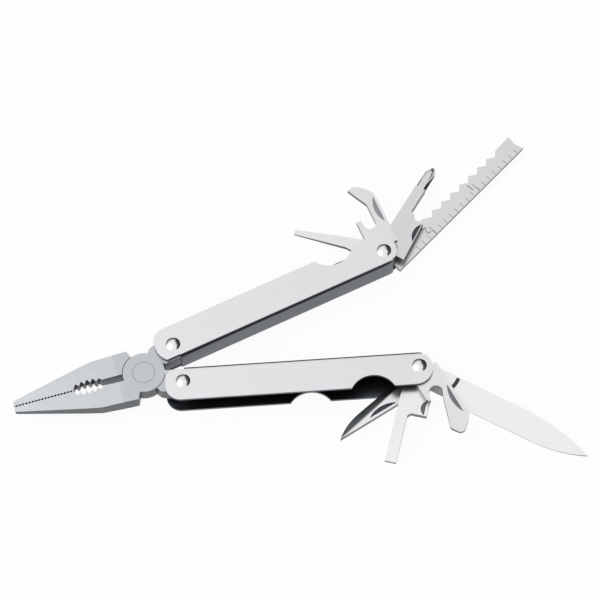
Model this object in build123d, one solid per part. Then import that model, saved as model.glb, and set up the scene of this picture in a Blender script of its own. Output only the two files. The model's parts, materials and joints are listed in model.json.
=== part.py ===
"""A folding multi tool: needle-nose pliers between two channel handles, each with four pin-hinged tools.

The pliers lie along X with the jaw tips at -X, the handles are swung open and the tools fanned out.
Z is the thickness. The model is drawn about the jaw pivot, then moved so that the bottom centre of its
bounding box is the origin. Sizes are millimetres.
"""
import os
from math import cos, radians, sin, sqrt

from build123d import *

# ---------------------------------------------------------------- pliers head
HEAD_THICKNESS = 6.3
LAP_GAP = 0.06               # between the two crossed halves
BOSS_RADIUS = 8.0            # round lap-joint boss of each half
BOSS_RELIEF = 0.25           # gap between a boss and the concave shoulders round it
JAW_LENGTH = 50.5            # pivot to blunt tip
JAW_TIP_HALF_WIDTH = 2.2
JAW_TIP_THICKNESS = 2.0
JAW_TAPER_START = 10.0       # the jaws get thinner from here to the tip
JAW_KNEE = (24.5, 8.45)      # distance from the pivot, half width
JAW_SHOULDER = (18.5, 9.75)
JAW_HEEL = (4.4, 10.2)
JAW_FACE_GAP = 0.02          # each jaw face to the centre plane
JAW_CORNER_RADIUS = 0.8
SEAM_TEETH = 19
SEAM_PITCH = 1.25
SEAM_TOOTH_WIDTH = 0.95
SEAM_TOOTH_DEPTH = 0.5
SEAM_START = 1.0             # from the tip to the first groove
GRIP_CENTRE = 21.6           # oval pipe grip, distance from the pivot
GRIP_TEETH = 5
GRIP_PITCH = 2.26
GRIP_ROOT = (7.2, 3.05)      # half axes of the oval through the roots of the grip teeth
GRIP_CREST = (6.5, 1.5)      # half axes of the oval through their crests
SLOT_HALF_WIDTH = 1.38       # plain slot between the grip and the boss

PIVOT_SHAFT_RADIUS = 2.6
PIVOT_HEAD_RADIUS = 4.2      # flush rivet heads
PIVOT_HEAD_THICKNESS = 1.0
PIVOT_CLEARANCE = 0.05
PIVOT_RING = 0.12            # the fine ring that shows round each flush head

# ---------------------------------------------------------------- tangs and their pins
TANG_X = 13.5                # jaw pivot to the tang pins, along the pliers
TANG_Y = 7.9                 # tang pins off the centre line
TANG_RADIUS = 4.6            # round end that turns inside the channel
TANG_FLANK = 5.5             # pin line to the flank on the web's side
TANG_REACH = 8.6             # pin to the outer corner beside the boss
TANG_CORNER_RISE = 3.0
TANG_SHOULDER = (6.7, 3.4)
TANG_STOP_GAP = 0.05         # tang shoulder to the end of the web
SPLAY = 11.1                 # each open handle to the centre line, degrees
PIN_RADIUS = 2.0
PIN_CLEARANCE = 0.05         # whatever turns on a pin
PIN_SEAT_GAP = 0.01          # pin in the plates that it is riveted into
PIN_HEAD_RADIUS = 2.75
PIN_HEAD_HEIGHT = 0.9
PIN_HEAD_FLAT = 1.4          # radius of the flat on top of each domed head

# ---------------------------------------------------------------- channel handles
SHEET = 1.1
PIN_SPACING = 89.5           # tang pin to tool pin
PLATE_HEAD_END = 6.85        # plates past the tang pin
PLATE_TOOL_END = 5.0         # plates past the tool pin
WEB_DROP = 5.9               # pin line to the outside of the web
OPEN_RISE = 7.6              # pin line to the open edges
BEND_RADIUS = 1.5
WEB_START = 0.6              # web begins past the tang pin
WEB_END = 1.4                # web ends past the tool pin
HEAD_EDGE = 4.9              # plate edge below the pin line where there is no web
HEAD_CORNER_RADIUS = 5.8
NOTCH_FROM_TOOL_PIN = 18.0   # thumb notch in the front plate
NOTCH_RADIUS = 9.2
NOTCH_DEPTH = 4.85
NOTCH_LIP_RADIUS = 1.0

# ---------------------------------------------------------------- tool stacks, from the back plate up
WASHER = 0.25                # thin washer in front of each tang
WASHER_RADIUS = 4.0
STACK_CLEARANCE = 0.12       # between neighbours in a stack
RULER_THICKNESS = 1.5
PHILLIPS_THICKNESS = 3.2
SMALL_DRIVER_THICKNESS = 1.7
CAN_OPENER_THICKNESS = 2.0
KNIFE_THICKNESS = 1.5
SMALL_BLADE_THICKNESS = 2.1
WIDE_DRIVER_THICKNESS = 2.3
BOTTLE_OPENER_THICKNESS = 2.5

# swing of each tool out of its handle, degrees from folded
RULER_SWING = 158.6
PHILLIPS_SWING = 146.3
SMALL_DRIVER_SWING = 41.0
CAN_OPENER_SWING = 92.6
KNIFE_SWING = 148.0
SMALL_BLADE_SWING = 40.0
WIDE_DRIVER_SWING = 73.0
BOTTLE_OPENER_SWING = 116.0

# ---------------------------------------------------------------- tools: (x from the pin, y toward the spine)
TOOL_HUB_RADIUS = 4.5
TOOL_ROOT = 2.5              # square root end of most tools, beside the pin
TOOL_EDGE_GAP = 0.15         # edge of a folded tool to the web
NICK_DEPTH = 0.5

RULER_LENGTH = 73.1
RULER_EDGE = 7.6
RULER_HEEL = 1.0
RULER_TEETH = 9
RULER_FIRST_TOOTH = 23.4
RULER_TOOTH_PITCH = 5.2
RULER_TOOTH_RAMP = 3.1
RULER_TOOTH_DEPTH = 2.1
RULER_TIP_LINE = (-0.7, 0.3)     # height of the first and the last tooth tip
RULER_BELLY = (8.0, -2.0)
RULER_FORK = (0.9, 4.0)          # depth of the end notch, height of its bottom
RULER_NOSE = 0.1

PHILLIPS_LENGTH = 43.3
PHILLIPS_BACK = ((2.5, 7.3), (19.7, 6.1))
PHILLIPS_STEP = (2.4, 0.4)       # height and radius of the step down to the shank
PHILLIPS_SHANK_RADIUS = 2.05
PHILLIPS_AXIS_Y = -2.5
PHILLIPS_TIP_START = 31.0
PHILLIPS_POINT = (2.8, 0.7)      # length of the cone, radius of the blunt end
PHILLIPS_FLUTE_ROOT = 0.45       # flute bottom to the axis at the point
PHILLIPS_FLUTE_TILT = 12.0       # degrees
PHILLIPS_NICK = ((11.0, 6.4), (19.2, 5.8), 1.7)   # both ends and the depth of the crescent

SMALL_DRIVER_LENGTH = 36.0
SMALL_DRIVER_TIP = (0.7, 1.0)    # centre and half width
SMALL_DRIVER_CORNER = 0.35
SMALL_DRIVER_SHOULDER = (9.8, 4.0)
SMALL_DRIVER_WAIST = (15.0, -0.9)
SMALL_DRIVER_BELLY = (9.0, -2.6)
SMALL_DRIVER_GRIND = 14.0
SMALL_DRIVER_TIP_THICKNESS = 0.8

CAN_OPENER_BACK = (20.6, 6.8)    # end of the straight back
CAN_OPENER_CROWN = (25.1, 6.4)
CAN_OPENER_BROW = (28.4, 3.6)
CAN_OPENER_NOSE = (30.5, 0.4)
CAN_OPENER_POINT = (29.9, -2.2)
CAN_OPENER_EDGE = (25.8, -0.2)   # middle of the cutting edge
CAN_OPENER_THROAT = (21.4, 2.1)
CAN_OPENER_NOTCH = ((13.1, 2.15), (11.0, 0.0), (12.9, -2.5))
CAN_OPENER_HORN = (15.8, -2.9)
CAN_OPENER_NICK = ((11.9, 5.7), (23.4, 5.7), 1.8)
CAN_OPENER_BEVEL = 1.3           # width of the ground cutting edge

KNIFE_LENGTH = 71.3
KNIFE_SPINE = 5.95
KNIFE_SPINE_STRAIGHT = 40.0
KNIFE_EDGE_STRAIGHT = 50.0
KNIFE_POINT_Y = 0.0
KNIFE_PLUNGE = 13.6
KNIFE_CHOIL = 1.2                # step from the tang up to the start of the edge
KNIFE_EDGE_THICKNESS = 0.3

SMALL_BLADE_LENGTH = 40.6
SMALL_BLADE_BACK = (2.5, 6.1)
SMALL_BLADE_POINT_Y = -0.95
SMALL_BLADE_CURVE = ((35.6, -3.0), (28.5, -3.9))
SMALL_BLADE_HEEL = (10.0, -3.4)
SMALL_BLADE_GRIND = (-1.2, 9.0)  # top of the grind, and where it starts
SMALL_BLADE_EDGE_THICKNESS = 0.3
SMALL_BLADE_NICK = ((14.9, 3.0), (26.8, 0.6), 1.8)

WIDE_DRIVER_LENGTH = 39.2
WIDE_DRIVER_WIDTH = 4.3
WIDE_DRIVER_STEP = 18.4
WIDE_DRIVER_FLANGE = (11.8, 6.8)
WIDE_DRIVER_ROOT = 4.7
WIDE_DRIVER_CORNER = 1.2
WIDE_DRIVER_GRIND = 12.0
WIDE_DRIVER_TIP_THICKNESS = 1.2
WIDE_DRIVER_NICK = ((12.2, 5.7), (18.2, 5.7), 1.8)

BOTTLE_OPENER_BACK = (24.4, 6.4)
BOTTLE_OPENER_HEEL = 1.6
BOTTLE_OPENER_CROWN = ((26.6, 5.9), (28.0, 4.8))
BOTTLE_OPENER_END = ((30.0, 2.7), (30.9, 1.2), (30.4, -0.6))
BOTTLE_OPENER_CHIN = ((28.4, -1.9), (27.2, -2.4), (25.9, -2.0))
BOTTLE_OPENER_THROAT = (15.6, 1.3)
BOTTLE_OPENER_NOTCH = ((13.4, 2.3), (9.5, 0.2), (11.2, -2.3))
BOTTLE_OPENER_HORN = ((14.1, -3.3), (14.2, -4.2))
BOTTLE_OPENER_GRIND = 9.0
BOTTLE_OPENER_TIP_THICKNESS = 1.3
BOTTLE_OPENER_NICK = ((11.6, 5.2), (24.2, 4.9), 1.7)

# ---------------------------------------------------------------- worked out from the above
LOWER_STACK = (KNIFE_THICKNESS, SMALL_BLADE_THICKNESS, WIDE_DRIVER_THICKNESS, BOTTLE_OPENER_THICKNESS)
UPPER_STACK = (RULER_THICKNESS, PHILLIPS_THICKNESS, SMALL_DRIVER_THICKNESS, CAN_OPENER_THICKNESS)
INNER_WIDTH = max(sum(LOWER_STACK), sum(UPPER_STACK)) + 5 * STACK_CLEARANCE
OUTER_WIDTH = INNER_WIDTH + 2 * SHEET
INNER_BACK = PIN_HEAD_HEIGHT + SHEET
INNER_FRONT = INNER_BACK + INNER_WIDTH
OUTER_FRONT = INNER_FRONT + SHEET
HEAD_FRONT = INNER_FRONT - WASHER - 2 * PIN_CLEARANCE
HEAD_BACK = HEAD_FRONT - HEAD_THICKNESS
HEAD_MID = HEAD_BACK + HEAD_THICKNESS / 2
WEB_INSIDE = WEB_DROP - SHEET
TOOL_LOW = TOOL_EDGE_GAP - WEB_INSIDE    # lowest edge of a folded tool
RELIEF_RADIUS = BOSS_RADIUS + BOSS_RELIEF


def prism(points, height, z=0.0):
    """Closed polygon in XY, extruded upward from z."""
    return Pos(0, 0, z) * extrude(make_face(Polyline(*points, close=True)), height)


def disc(radius, z0, z1, x=0.0, y=0.0):
    """Upright round bar between two heights."""
    return Pos(x, y, (z0 + z1) / 2) * Cylinder(radius, z1 - z0)


def polar(radius, angle):
    """Point at an angle in degrees."""
    return (radius * cos(radians(angle)), radius * sin(radians(angle)))


# ================================================================ pliers head
def oval_height(axes, x):
    """Height of an oval at a distance from its centre."""
    return axes[1] * sqrt(max(0.0, 1 - (x / axes[0]) ** 2))


def grip_outline():
    """Upper half of the toothed pipe grip and the plain slot, closed along the centre line."""
    first = GRIP_CENTRE - GRIP_PITCH * (GRIP_TEETH - 1) / 2
    points = [(0, 0), (0, SLOT_HALF_WIDTH), (-first + GRIP_PITCH / 2, SLOT_HALF_WIDTH)]
    for i in range(GRIP_TEETH):
        root = first + GRIP_PITCH * i
        crest = root + GRIP_PITCH / 2
        points.append((-root, oval_height(GRIP_ROOT, root - GRIP_CENTRE)))
        points.append((-crest, oval_height(GRIP_CREST, crest - GRIP_CENTRE)))
    points.append((points[-1][0], 0))
    return points


def seam_grooves():
    """Row of small V grooves across the jaw face, from the tip to the pipe grip."""
    grooves = []
    for i in range(SEAM_TEETH):
        x = -JAW_LENGTH + SEAM_START + SEAM_PITCH * i
        half = SEAM_TOOTH_WIDTH / 2
        outline = [(x - half, 0), (x, SEAM_TOOTH_DEPTH + JAW_FACE_GAP), (x + half, 0)]
        grooves.append(prism(outline, HEAD_THICKNESS, -HEAD_THICKNESS / 2))
    return grooves


def jaw():
    """One jaw on the +Y side, full thickness, about the pivot and the lap plane."""
    heel = (-JAW_HEEL[0], JAW_HEEL[1])
    heel_angle = Vector(*heel).get_angle(Vector(1, 0))
    outline = [
        (-JAW_LENGTH, JAW_FACE_GAP),
        (-JAW_LENGTH, JAW_TIP_HALF_WIDTH),
        (-JAW_KNEE[0], JAW_KNEE[1]),
        (-JAW_SHOULDER[0], JAW_SHOULDER[1]),
        heel,
        polar(BOSS_RADIUS - 1, heel_angle),
        (-BOSS_RADIUS / 2, JAW_FACE_GAP),
    ]
    body = prism(outline, HEAD_THICKNESS, -HEAD_THICKNESS / 2)
    body = fillet(body.edges().filter_by(Axis.Z).sort_by(Axis.X)[0:2].sort_by(Axis.Y)[-1:], JAW_CORNER_RADIUS)
    body -= prism(grip_outline(), HEAD_THICKNESS, -HEAD_THICKNESS / 2)
    body -= seam_grooves()
    side = [
        (-JAW_LENGTH - 1, -JAW_TIP_THICKNESS / 2),
        (-JAW_TAPER_START, -HEAD_THICKNESS / 2),
        (0, -HEAD_THICKNESS / 2),
        (0, HEAD_THICKNESS / 2),
        (-JAW_TAPER_START, HEAD_THICKNESS / 2),
        (-JAW_LENGTH - 1, JAW_TIP_THICKNESS / 2),
    ]
    taper = extrude(Plane.XZ * make_face(Polyline(*side, close=True)), -2 * JAW_HEEL[1])
    return body & taper


def tang():
    """Full-thickness tang on the +Y side, out to the pin, with its round end and its stop shoulder."""
    half = HEAD_THICKNESS / 2
    stop = WEB_START - TANG_STOP_GAP
    outline = [
        (0, TANG_RADIUS),
        (-TANG_SHOULDER[0], TANG_SHOULDER[1]),
        (-TANG_REACH, TANG_CORNER_RISE),
        (-TANG_REACH - 1.5, 1.5),
        (-TANG_REACH + 2.5, -TANG_FLANK),
        (stop, -TANG_FLANK),
        (stop, 0),
        (0, 0),
    ]
    arm = prism(outline, HEAD_THICKNESS, -half) + disc(TANG_RADIUS, -half, half)
    arm -= disc(PIN_RADIUS + PIN_CLEARANCE, -half, half)
    return Pos(TANG_X, TANG_Y, 0) * Rot(0, 0, SPLAY) * arm


def head_half():
    """Jaw at -Y and tang at +Y joined by the boss, whose lap lies above the lap plane."""
    half = HEAD_THICKNESS / 2
    lap = LAP_GAP / 2
    below_lap = disc(RELIEF_RADIUS, -half, lap)
    body = mirror(jaw(), about=Plane.XZ) + tang() - below_lap
    body += disc(BOSS_RADIUS, lap, half)
    body -= disc(PIVOT_SHAFT_RADIUS + PIVOT_CLEARANCE, -half, half)
    return body - disc(PIVOT_HEAD_RADIUS + PIVOT_RING, half - PIVOT_HEAD_THICKNESS, half)


def pivot_rivet():
    """Flush rivet through both halves."""
    half = HEAD_THICKNESS / 2
    seat = half - PIVOT_HEAD_THICKNESS + PIVOT_CLEARANCE
    rivet = disc(PIVOT_SHAFT_RADIUS, -half, half)
    for z0, z1 in ((-half, -seat), (seat, half)):
        rivet += disc(PIVOT_HEAD_RADIUS, z0, z1)
    return rivet


# ================================================================ handles, s along +X from the tang pin, open side +Y
def plate_outline():
    """Side outline of a handle."""
    centre_y = (OPEN_RISE - WEB_DROP) / 2
    end_radius = (OPEN_RISE + WEB_DROP) / 2
    end_x = PIN_SPACING + PLATE_TOOL_END
    corner = Vector(-PLATE_HEAD_END * 0.69, -HEAD_EDGE)
    flat_top = HEAD_CORNER_RADIUS - PLATE_HEAD_END
    return Sketch() + make_face([
        Line(corner, (WEB_START, -HEAD_EDGE)),
        Line((WEB_START, -HEAD_EDGE), (WEB_START, -WEB_DROP)),
        Line((WEB_START, -WEB_DROP), (end_x - end_radius, -WEB_DROP)),
        ThreePointArc((end_x - end_radius, -WEB_DROP), (end_x, centre_y), (end_x - end_radius, OPEN_RISE)),
        Line((end_x - end_radius, OPEN_RISE), (flat_top, OPEN_RISE)),
        RadiusArc((flat_top, OPEN_RISE), (-PLATE_HEAD_END, OPEN_RISE - HEAD_CORNER_RADIUS), -HEAD_CORNER_RADIUS),
        ThreePointArc((-PLATE_HEAD_END, OPEN_RISE - HEAD_CORNER_RADIUS),
                      (-PLATE_HEAD_END * 0.935, -WEB_DROP * 0.4), corner),
    ])


def channel_section():
    """U section: sheet folded round two bends, open toward +Y."""
    outer = Pos(0, (OPEN_RISE - WEB_DROP) / 2) * Rectangle(OUTER_WIDTH, OPEN_RISE + WEB_DROP)
    outer = fillet(outer.vertices().group_by(Axis.Y)[0], BEND_RADIUS)
    inner = Pos(0, (OPEN_RISE - WEB_INSIDE) / 2) * Rectangle(INNER_WIDTH, OPEN_RISE + WEB_INSIDE)
    inner = fillet(inner.vertices().group_by(Axis.Y)[0], BEND_RADIUS - SHEET)
    return outer - inner


def thumb_notch():
    """Round thumb notch in the open edge of the front plate, with rounded lips."""
    x = PIN_SPACING - NOTCH_FROM_TOOL_PIN
    circle_y = OPEN_RISE + NOTCH_RADIUS - NOTCH_DEPTH
    cut = Pos(x, circle_y) * Circle(NOTCH_RADIUS)
    above = Pos(x, OPEN_RISE + NOTCH_RADIUS) * Rectangle(4 * NOTCH_RADIUS, 2 * NOTCH_RADIUS)
    outline = cut + above
    lips = [v for v in outline.vertices() if abs(v.X - x) < NOTCH_RADIUS and abs(v.Y - OPEN_RISE) < 0.01]
    outline = fillet(lips, NOTCH_LIP_RADIUS)
    return extrude(Pos(0, 0, INNER_FRONT - SHEET / 2) * outline, 2 * SHEET)


def handle():
    """One folded sheet channel with its pin holes."""
    length = PIN_SPACING + PLATE_HEAD_END + PLATE_TOOL_END
    profile = Plane.YZ * Rot(0, 0, -90) * channel_section()
    channel = Pos(-PLATE_HEAD_END, 0, INNER_BACK + INNER_WIDTH / 2) * extrude(profile, length)
    channel &= extrude(plate_outline(), OUTER_FRONT)
    bend_top = WEB_DROP - BEND_RADIUS
    for x, width in ((WEB_START - 10, INNER_WIDTH), (PIN_SPACING + WEB_END + 10, OUTER_WIDTH + 1)):
        channel -= Pos(x, -bend_top - 5, INNER_BACK + INNER_WIDTH / 2) * Box(20, 10, width)
    for x in (0, PIN_SPACING):
        channel -= disc(PIN_RADIUS, 0, OUTER_FRONT + 1, x)
    return channel - thumb_notch()


def rivet_head():
    """Low domed head with a flat top, rising from z = 0."""
    full = (PIN_HEAD_RADIUS ** 2 - PIN_HEAD_FLAT ** 2 - PIN_HEAD_HEIGHT ** 2) / (2 * PIN_HEAD_HEIGHT)
    dome_radius = sqrt(full ** 2 + PIN_HEAD_RADIUS ** 2)
    outline = make_face([
        Line((0, 0), (PIN_HEAD_RADIUS, 0)),
        RadiusArc((PIN_HEAD_RADIUS, 0), (PIN_HEAD_FLAT, PIN_HEAD_HEIGHT), -dome_radius),
        Line((PIN_HEAD_FLAT, PIN_HEAD_HEIGHT), (0, PIN_HEAD_HEIGHT)),
        Line((0, PIN_HEAD_HEIGHT), (0, 0)),
    ])
    return revolve(Plane.XZ * outline, Axis.Z)


def domed_pin():
    """Rivet through both plates with a low domed head at each end."""
    head = rivet_head()
    pin = disc(PIN_RADIUS - PIN_SEAT_GAP, PIN_HEAD_HEIGHT, OUTER_FRONT)
    return pin + Pos(0, 0, OUTER_FRONT) * head + Pos(0, 0, PIN_HEAD_HEIGHT) * mirror(head, about=Plane.XY)


def ring(z0, z1):
    """Washer or spacer on a pin, with a little play at both faces."""
    z0, z1 = z0 + PIN_CLEARANCE, z1 - PIN_CLEARANCE
    return disc(WASHER_RADIUS, z0, z1) - disc(PIN_RADIUS + PIN_CLEARANCE, z0, z1)


def stack_levels(thicknesses):
    """Bottom height of each tool in a stack."""
    levels = []
    z = INNER_BACK + STACK_CLEARANCE
    for thickness in thicknesses:
        levels.append(z)
        z += thickness + STACK_CLEARANCE
    return levels


# ================================================================ tools
def blank(outline, thickness):
    """Flat tool blank: an outline plus the round hub about the pin hole."""
    body = extrude(outline, thickness) + disc(TOOL_HUB_RADIUS, 0, thickness)
    return body - disc(PIN_RADIUS + PIN_CLEARANCE, 0, thickness)


def nail_nick(nick, thickness):
    """Crescent nail nick sunk in the front face; its chord is the side nearer the spine."""
    start, end, sag = nick
    chord = Line(start, end)
    along = (chord @ 1 - chord @ 0).normalized()
    arc = ThreePointArc(start, chord @ 0.5 + Vector(along.Y, -along.X) * sag, end)
    return Pos(0, 0, thickness - NICK_DEPTH) * extrude(make_face([chord, arc]), 2 * NICK_DEPTH)


def flat_grind(x_tip, run, thickness, tip_thickness):
    """Two wedges that thin a driver toward its tip from both faces."""
    drop = (thickness - tip_thickness) / 2
    far = x_tip + run
    wedges = []
    for face, inward in ((thickness, -1), (0, 1)):
        low = face + inward * drop
        side = Polyline((x_tip - run, face), (far, face), (far, low), (x_tip, low), close=True)
        wedges.append(extrude(Plane.XZ * make_face(side), 2 * OPEN_RISE, both=True))
    return wedges


def edge_grind(x_start, length, y_top, y_edge, thickness, edge_thickness):
    """Two wedges that thin a blade toward its lower edge from both faces."""
    drop = (thickness - edge_thickness) / 2
    below = y_edge - TOOL_HUB_RADIUS
    wedges = []
    for face, inward in ((thickness, -1), (0, 1)):
        low = face + inward * drop
        section = Polyline((below, face), (y_top, face), (y_edge, low), (below, low), close=True)
        wedges.append(Pos(x_start, 0, 0) * extrude(Plane.YZ * make_face(section), length))
    return wedges


def ruler():
    """Fish scaler with a straight ruler edge, saw-like teeth and a forked end."""
    last = RULER_FIRST_TOOTH + RULER_TOOTH_PITCH * (RULER_TEETH - 1)
    slope = (RULER_TIP_LINE[1] - RULER_TIP_LINE[0]) / (last - RULER_FIRST_TOOTH)
    fork_depth, fork_y = RULER_FORK
    points = [(RULER_HEEL, 0), (RULER_HEEL, RULER_EDGE), (RULER_LENGTH, RULER_EDGE)]
    points += [(RULER_LENGTH - fork_depth, fork_y), (RULER_LENGTH, RULER_NOSE)]
    for i in reversed(range(RULER_TEETH)):
        x = RULER_FIRST_TOOTH + RULER_TOOTH_PITCH * i
        tip = RULER_TIP_LINE[0] + slope * (x - RULER_FIRST_TOOTH)
        if i < RULER_TEETH - 1:
            points.append((x + RULER_TOOTH_RAMP, tip + RULER_TOOTH_DEPTH))
        points.append((x, tip))
    points.append(RULER_BELLY)
    return blank(make_face(Polyline(*points, close=True)), RULER_THICKNESS)


def cross_tip():
    """Round cross point about the X axis, its end at x = 0: a turned point with four V flutes."""
    r = PHILLIPS_SHANK_RADIUS
    length = PHILLIPS_LENGTH - PHILLIPS_TIP_START
    cone, blunt = PHILLIPS_POINT
    outline = [(-length, 0), (-length, r), (-cone, r), (0, blunt), (0, 0)]
    point = revolve(make_face(Polyline(*outline, close=True)), Axis.X)
    cut = Pos(-length / 2, r, r) * Box(length + 2 * r, 2 * r, 2 * r)
    flute = Rot(0, PHILLIPS_FLUTE_TILT, 0) * Rot(45, 0, 0) * cut
    for turn in (45, 135, 225, 315):
        point -= Rot(turn, 0, 0) * Pos(0, 0, PHILLIPS_FLUTE_ROOT) * flute
    return point


def phillips_driver():
    """Cross-tip driver on flat stock: deep base with a nail nick, narrow shank, cross point."""
    t = PHILLIPS_THICKNESS
    r = PHILLIPS_SHANK_RADIUS
    low, high = PHILLIPS_AXIS_Y - r, PHILLIPS_AXIS_Y + r
    root, step = PHILLIPS_BACK
    step_y, step_radius = step[0], high + PHILLIPS_STEP[0]
    shank_end = PHILLIPS_TIP_START + r
    corner = PHILLIPS_STEP[0]
    base = make_face([
        Line(root, step),
        Line(step, (step_y, step_radius)),
        RadiusArc((step_y, step_radius), (step_y + corner, high), corner),
        Line((step_y + corner, high), (shank_end, high)),
        Line((shank_end, high), (shank_end, low)),
        Line((shank_end, low), (0, low)),
        Line((0, low), (0, root[1])),
        Line((0, root[1]), root),
    ])
    base -= Pos(root[0] / 2, root[1]) * Rectangle(root[0], 2 * (root[1] - TOOL_HUB_RADIUS / 2))
    tip = Pos(PHILLIPS_LENGTH, PHILLIPS_AXIS_Y, t / 2) * cross_tip()
    tip &= Pos(PHILLIPS_LENGTH / 2, PHILLIPS_AXIS_Y, t / 2) * Box(PHILLIPS_LENGTH, 3 * r, t)
    return blank(base, t) + tip - nail_nick(PHILLIPS_NICK, t)


def small_driver():
    """Slim tapered flat screwdriver."""
    t = SMALL_DRIVER_THICKNESS
    centre, half = SMALL_DRIVER_TIP
    end, corner = SMALL_DRIVER_LENGTH, SMALL_DRIVER_CORNER
    outline = [
        (TOOL_ROOT, SMALL_DRIVER_SHOULDER[1] + corner), SMALL_DRIVER_SHOULDER,
        (end - corner, centre + half), (end, centre + half - corner),
        (end, centre - half + corner), (end - corner, centre - half),
        SMALL_DRIVER_WAIST, SMALL_DRIVER_BELLY, (TOOL_ROOT, -TOOL_HUB_RADIUS / 2),
    ]
    body = blank(make_face(Polyline(*outline, close=True)), t)
    return body - flat_grind(end, SMALL_DRIVER_GRIND, t, SMALL_DRIVER_TIP_THICKNESS)


def can_opener():
    """Can opener: hooked cutting head, round notch and horn, long nail nick."""
    t = CAN_OPENER_THICKNESS
    back, nose, point, horn = CAN_OPENER_BACK, CAN_OPENER_NOSE, CAN_OPENER_POINT, CAN_OPENER_HORN
    notch = CAN_OPENER_NOTCH
    outline = make_face([
        Line((TOOL_ROOT, back[1]), back),
        Line(back, CAN_OPENER_CROWN),
        ThreePointArc(CAN_OPENER_CROWN, CAN_OPENER_BROW, nose),
        Line(nose, point),
        ThreePointArc(point, CAN_OPENER_EDGE, CAN_OPENER_THROAT),
        Line(CAN_OPENER_THROAT, notch[0]),
        ThreePointArc(*notch),
        Line(notch[2], horn),
        Line(horn, (horn[0], TOOL_LOW)),
        Line((horn[0], TOOL_LOW), (TOOL_ROOT, TOOL_LOW)),
        Line((TOOL_ROOT, TOOL_LOW), (TOOL_ROOT, back[1])),
    ])
    return blank(outline, t) - nail_nick(CAN_OPENER_NICK, t)


def knife():
    """Main blade: flat ground spear point on a short full-height tang."""
    t = KNIFE_THICKNESS
    spine, edge = KNIFE_SPINE, TOOL_LOW
    tip = (KNIFE_LENGTH, KNIFE_POINT_Y)
    spine_turn, edge_turn = (KNIFE_SPINE_STRAIGHT, spine), (KNIFE_EDGE_STRAIGHT, edge)
    heel = (KNIFE_PLUNGE, edge + KNIFE_CHOIL)
    outline = make_face([
        Line((TOOL_ROOT, spine), spine_turn),
        TangentArc(spine_turn, tip, tangent=(1, 0)),
        TangentArc(edge_turn, tip, tangent=(1, 0)),
        Line(edge_turn, (KNIFE_PLUNGE + KNIFE_CHOIL, edge)),
        Line((KNIFE_PLUNGE + KNIFE_CHOIL, edge), heel),
        Line(heel, (TOOL_ROOT, heel[1])),
        Line((TOOL_ROOT, heel[1]), (TOOL_ROOT, spine)),
    ])
    return blank(outline, t) - edge_grind(KNIFE_PLUNGE, KNIFE_LENGTH, spine, edge, t, KNIFE_EDGE_THICKNESS)


def small_blade():
    """Small pointed blade with a ground edge and a long nail nick."""
    t = SMALL_BLADE_THICKNESS
    tip = (SMALL_BLADE_LENGTH, SMALL_BLADE_POINT_Y)
    belly, edge = SMALL_BLADE_CURVE
    outline = make_face([
        Line(SMALL_BLADE_BACK, tip),
        ThreePointArc(tip, belly, edge),
        Line(edge, SMALL_BLADE_HEEL),
        Line(SMALL_BLADE_HEEL, (SMALL_BLADE_BACK[0], SMALL_BLADE_HEEL[1])),
        Line((SMALL_BLADE_BACK[0], SMALL_BLADE_HEEL[1]), SMALL_BLADE_BACK),
    ])
    top, start = SMALL_BLADE_GRIND
    grind = edge_grind(start, SMALL_BLADE_LENGTH, top, edge[1], t, SMALL_BLADE_EDGE_THICKNESS)
    return blank(outline, t) - grind - nail_nick(SMALL_BLADE_NICK, t)


def wide_driver():
    """L-shaped flat screwdriver: long blade along the back edge, nail nick on the flange."""
    t = WIDE_DRIVER_THICKNESS
    high = TOOL_LOW + WIDE_DRIVER_WIDTH
    step, corner = WIDE_DRIVER_STEP, WIDE_DRIVER_CORNER
    flange_x, flange_y = WIDE_DRIVER_FLANGE
    outline = [
        (TOOL_ROOT, TOOL_LOW), (WIDE_DRIVER_LENGTH, TOOL_LOW), (WIDE_DRIVER_LENGTH, high), (step + corner, high),
        (step, high + corner), (step, flange_y), (flange_x, flange_y),
        (flange_x - corner, WIDE_DRIVER_ROOT), (TOOL_ROOT, WIDE_DRIVER_ROOT),
    ]
    body = blank(make_face(Polyline(*outline, close=True)), t)
    body -= flat_grind(WIDE_DRIVER_LENGTH, WIDE_DRIVER_GRIND, t, WIDE_DRIVER_TIP_THICKNESS)
    return body - nail_nick(WIDE_DRIVER_NICK, t)


def bottle_opener():
    """Bottle opener: round cap notch with a hook, flat blunt driver tip, long nail nick."""
    t = BOTTLE_OPENER_THICKNESS
    back, heel = BOTTLE_OPENER_BACK, BOTTLE_OPENER_HEEL
    brow, cheek = BOTTLE_OPENER_CROWN
    end, chin, notch = BOTTLE_OPENER_END, BOTTLE_OPENER_CHIN, BOTTLE_OPENER_NOTCH
    hook, horn = BOTTLE_OPENER_HORN
    outline = make_face([
        Line((heel, back[1]), back),
        ThreePointArc(back, brow, cheek),
        Line(cheek, end[0]),
        ThreePointArc(*end),
        Line(end[2], chin[0]),
        ThreePointArc(*chin),
        Line(chin[2], BOTTLE_OPENER_THROAT),
        Line(BOTTLE_OPENER_THROAT, notch[0]),
        ThreePointArc(*notch),
        Line(notch[2], hook),
        Line(hook, horn),
        Line(horn, (horn[0] - t / 2, TOOL_LOW)),
        Line((horn[0] - t / 2, TOOL_LOW), (heel, TOOL_LOW)),
        Line((heel, TOOL_LOW), (heel, back[1])),
    ])
    body = blank(outline, t)
    body -= flat_grind(end[1][0], BOTTLE_OPENER_GRIND, t, BOTTLE_OPENER_TIP_THICKNESS)
    return body - nail_nick(BOTTLE_OPENER_NICK, t)


# ================================================================ assembly
def on_upper(solid, spin=0.0, x=0.0):
    """Place something drawn about a handle's pin line on the upper handle."""
    return Pos(TANG_X, TANG_Y, 0) * Rot(0, 0, SPLAY) * Pos(x, 0, 0) * Rot(0, 0, spin) * solid


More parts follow.
